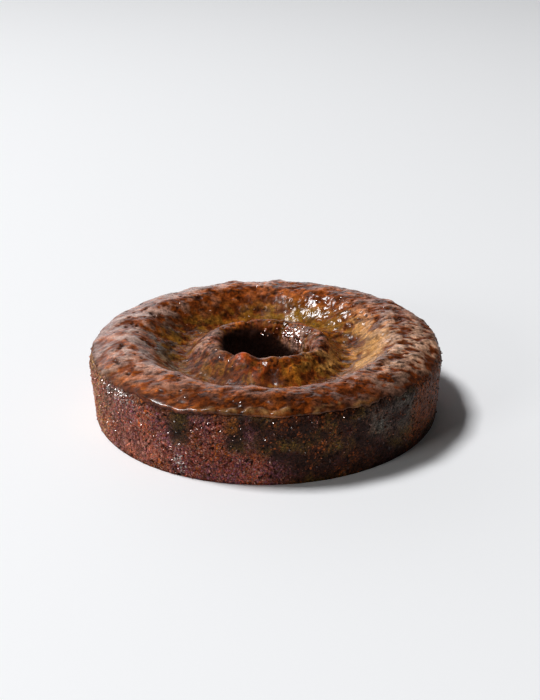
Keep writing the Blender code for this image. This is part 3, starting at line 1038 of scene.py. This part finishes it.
def sugar_flakes(material):
    """Thin six-sided flakes, 0.3 to 2 mm across, on the wall, on the glaze and in the tube."""
    draw = np.random.default_rng(FLAKE_SEED)
    places, normals, size = flake_places(draw)
    n = len(places)
    up = plain(FLAKE_FACING, n) + math.radians(FLAKE_SPREAD) * draw.normal(0, 0.5, (n, 3))
    up /= np.linalg.norm(up, axis=1, keepdims=True)
    side = np.cross(up, draw.normal(0, 1, (n, 3)))
    side /= np.linalg.norm(side, axis=1, keepdims=True)
    other = np.cross(up, side)
    turn = np.arange(FLAKE_SIDES) * math.pi / 3
    rim = size[:, None] * draw.uniform(0.75, 1.25, (n, FLAKE_SIDES))
    flat = (rim * np.cos(turn))[..., None] * side[:, None]
    flat = flat + (rim * np.sin(turn))[..., None] * other[:, None]
    middle = places + normals * (0.0009 + 1.6 * np.maximum(size - 0.0003, 0))[:, None]
    top = middle[:, None] + flat
    bottom = middle[:, None] + 0.8 * flat - 0.7 * size[:, None, None] * up[:, None]
    points = np.concatenate([top, bottom], axis=1)
    k = np.arange(FLAKE_SIDES)
    after = (k + 1) % FLAKE_SIDES
    sides = np.stack([k, k + FLAKE_SIDES, after + FLAKE_SIDES, after], -1).tolist()
    each = 2 * FLAKE_SIDES
    one = [list(range(FLAKE_SIDES)), list(range(each - 1, FLAKE_SIDES - 1, -1))] + sides
    faces = [[each * i + corner for corner in face] for i in range(n) for face in one]
    tone = mixed(plain(RED_BROWN, n), PALE_CRUMB, draw.uniform(0, 1, n))
    tone = np.repeat(tone, each, axis=0)
    points = points.reshape(-1, 3)
    new_piece("sugar_flakes", points, faces, tone, np.ones(len(points)), material, smooth=False)


# Materials


def nodes_of(name):
    """A new material, its tree and its shader."""
    material = bpy.data.materials.new(name)
    material.use_nodes = True
    tree = material.node_tree
    shader = tree.nodes["Principled BSDF"]
    return material, tree, shader


def attribute(tree, name):
    """A node that reads a piece's attribute."""
    node = tree.nodes.new("ShaderNodeAttribute")
    node.attribute_name = name
    return node


def feed(socket, value):
    """Links a socket to an input, or sets any other value on the input itself."""
    if isinstance(value, bpy.types.NodeSocket):
        socket.id_data.links.new(value, socket)
    else:
        socket.default_value = value


def filled(node, **inputs):
    """Feeds a node's inputs, by name."""
    for name, value in inputs.items():
        feed(node.inputs[name.replace("_", " ")], value)
    return node


def texture(tree, kind, scale, **settings):
    """A procedural texture in the object's own metres."""
    place = tree.nodes.new("ShaderNodeTexCoord").outputs["Object"]
    return filled(tree.nodes.new(kind), Scale=scale, Vector=place, **settings)


def ranged(source, low, high, to_low, to_high):
    """Maps a value from one range to another, clamped."""
    node = source.id_data.nodes.new("ShaderNodeMapRange")
    filled(node, Value=source, From_Min=low, From_Max=high, To_Min=to_low, To_Max=to_high)
    return node.outputs["Result"]


def calculated(operation, first, second):
    """A Math node of a socket and another socket or a number."""
    node = first.id_data.nodes.new("ShaderNodeMath")
    node.operation = operation
    feed(node.inputs[0], first)
    feed(node.inputs[1], second)
    return node.outputs[0]


def shaded(colour, factor):
    """A colour times a grey factor."""
    node = colour.id_data.nodes.new("ShaderNodeVectorMath")
    node.operation = "SCALE"
    filled(node, Vector=colour, Scale=factor)
    return node.outputs["Vector"]


def bumped(shader, height, strength, distance):
    """Adds fine bump to a shader."""
    node = shader.id_data.nodes.new("ShaderNodeBump")
    filled(node, Height=height, Strength=strength, Distance=distance)
    filled(shader, Normal=node.outputs["Normal"])


def toned(name, scale, steps, **settings):
    """A material with the colour of the attribute tone, mottled. The last value is the attribute wet."""
    material, tree, shader = nodes_of(name)
    mottle = texture(tree, "ShaderNodeTexNoise", scale, **settings).outputs["Fac"]
    tone = attribute(tree, "tone").outputs["Color"]
    filled(shader, Base_Color=shaded(tone, ranged(mottle, *steps)))
    return material, tree, shader, attribute(tree, "wet").outputs["Fac"]


def glaze_material():
    """Wet toffee, with more gloss and more coat where it is wetter."""
    steps = (0.3, 0.7, 0.4, 1.6)
    material, tree, shader, wet = toned("toffee_glaze", 1100, steps, Detail=4.0, Roughness=0.75)
    uneven = texture(tree, "ShaderNodeTexNoise", 300, Detail=3.0).outputs["Fac"]
    sheen = ranged(wet, 0.0, 1.0, 0.75, 0.09)
    roughness = calculated("ADD", sheen, calculated("MULTIPLY", uneven, 0.1))
    coat = ranged(wet, 0.25, 1.0, 0.0, 0.32)
    filled(shader, Roughness=roughness, Coat_Weight=coat, Coat_Roughness=0.17, Specular_IOR_Level=0.14)
    grain = texture(tree, "ShaderNodeTexNoise", 1300, Detail=3.0)
    bumped(shader, grain.outputs["Fac"], 0.2, 0.0002)
    return material


def sponge_material():
    """Date sponge: porous and mostly matt."""
    steps = (0.34, 0.66, 0.08, 1.85)
    material, tree, shader, wet = toned("date_sponge", 1300, steps, Detail=3.0, Roughness=0.7)
    filled(shader, Roughness=ranged(wet, 0.0, 1.0, 0.8, 0.36), Specular_IOR_Level=0.1)
    pits = texture(tree, "ShaderNodeTexVoronoi", 1700)
    bumped(shader, pits.outputs["Distance"], 0.6, 0.0004)
    return material


def crumb_material():
    """Sugary crumbs that catch the light."""
    material, _, shader, wet = toned("sticky_crumbs", 2200, (0.3, 0.7, 0.7, 1.3), Detail=2.0)
    filled(shader, Roughness=ranged(wet, 0.0, 1.0, 0.7, 0.12), Specular_IOR_Level=0.6)
    return material


# Surroundings, light and camera

FLOOR_HALF_WIDTH = 6.0
FLOOR_COLOUR = (0.94, 0.94, 0.94)
FLOOR_GAP = 0.0003

# Soft lights: name, where they shine from, how far away, size, watts, colour
LIGHTS = (
    ("window", (-0.46, 0.08, 0.88), 6.0, (1.55, 1.4), 325.0, (0.97, 0.98, 1.0)),
    ("fill", (-0.72, -0.62, 0.32), 3.2, (1.0, 0.8), 24.0, (1.0, 1.0, 1.0)),
)

WORLD_BRIGHT = (1.5, 1.53, 1.58)
WORLD_DIM = (0.04, 0.04, 0.04)
BRIGHT_TOWARDS = Vector((-0.554, 0.791, 0.259)).normalized()
# It brightens over these shares of facing that way, and dims over these heights
BRIGHT_FACING = (0.6, 1.0)
BRIGHT_BELOW = (0.3, 0.64)


def plain_floor():
    """A pale floor that fills the view."""
    mesh = bpy.data.meshes.new("floor")
    sides = ((-1, -1), (1, -1), (1, 1), (-1, 1))
    corners = [(x * FLOOR_HALF_WIDTH, y * FLOOR_HALF_WIDTH, -FLOOR_GAP) for x, y in sides]
    mesh.from_pydata(corners, [], [(0, 1, 2, 3)])
    floor = placed("floor", mesh)
    material, _, shader = nodes_of("pale_floor")
    filled(shader, Base_Color=(*FLOOR_COLOUR, 1.0), Roughness=0.7, Specular_IOR_Level=0.2)
    mesh.materials.append(material)


def soft_box(name, way, distance, size, watts, colour):
    """A large soft light that faces the pudding from a direction."""
    light = bpy.data.lights.new(name, "AREA")
    light.shape = "RECTANGLE"
    light.size, light.size_y = size
    light.energy = watts
    light.color = colour
    towards = Vector(way).normalized()
    lamp = placed(name, light)
    lamp.location = towards * distance
    lamp.rotation_euler = towards.to_track_quat("Z", "Y").to_euler()


def surroundings():
    """A room that is bright low down at the back left, and dim elsewhere."""
    world = bpy.data.worlds.new("room")
    world.use_nodes = True
    tree = world.node_tree
    place = tree.nodes.new("ShaderNodeTexCoord").outputs["Generated"]
    facing = tree.nodes.new("ShaderNodeVectorMath")
    facing.operation = "DOT_PRODUCT"
    feed(facing.inputs[0], place)
    feed(facing.inputs[1], BRIGHT_TOWARDS)
    near = ranged(facing.outputs["Value"], *BRIGHT_FACING, 0.0, 1.0)
    apart = tree.nodes.new("ShaderNodeSeparateXYZ")
    feed(apart.inputs[0], place)
    low_down = ranged(apart.outputs["Z"], *BRIGHT_BELOW, 1.0, 0.0)
    share = calculated("MULTIPLY", near, low_down)
    mix = tree.nodes.new("ShaderNodeMix")
    mix.data_type = "RGBA"
    feed(mix.inputs[0], share)
    feed(mix.inputs[6], (*WORLD_DIM, 1.0))
    feed(mix.inputs[7], (*WORLD_BRIGHT, 1.0))
    filled(tree.nodes["Background"], Color=mix.outputs[2])
    bpy.context.scene.world = world


# The photograph's camera, from the pudding's own origin
CAMERA_DISTANCE = 0.9
CAMERA_ELEVATION = math.radians(25.51)
CAMERA_PITCH = math.radians(23.12)
CAMERA_ROLL = math.radians(-0.49)
CAMERA_LENS = 61.97
CAMERA_ASIDE = 0.0031
CAMERA_NEARER = 0.0025


def photograph_camera():
    """The camera at the photograph's place, angle and lens."""
    data = bpy.data.cameras.new("camera")
    data.sensor_width = 36
    data.lens = CAMERA_LENS
    data.clip_start = 0.01
    camera = placed("camera", data)
    location = Vector((
        CAMERA_ASIDE,
        -CAMERA_DISTANCE * math.cos(CAMERA_ELEVATION) + CAMERA_NEARER,
        CAMERA_DISTANCE * math.sin(CAMERA_ELEVATION),
    ))
    tilt = Matrix.Rotation(math.pi / 2 - CAMERA_PITCH, 4, "X")
    camera.matrix_world = Matrix.Translation(location) @ tilt @ Matrix.Rotation(CAMERA_ROLL, 4, "Z")
    bpy.context.scene.camera = camera


glaze = glaze_material()
sponge = sponge_material()
glaze_coat(glaze)
wall_half("crumb_wall_front", WALL_COLUMNS // 2, sponge)
wall_half("crumb_wall_back", 0, sponge)
sponge_body(sponge)
crumbs = crumb_material()
crumb_grains(crumbs)
sugar_flakes(crumbs)

plain_floor()
surroundings()
for light in LIGHTS:
    soft_box(*light)
photograph_camera()
bpy.context.scene.view_settings.view_transform = "Standard"
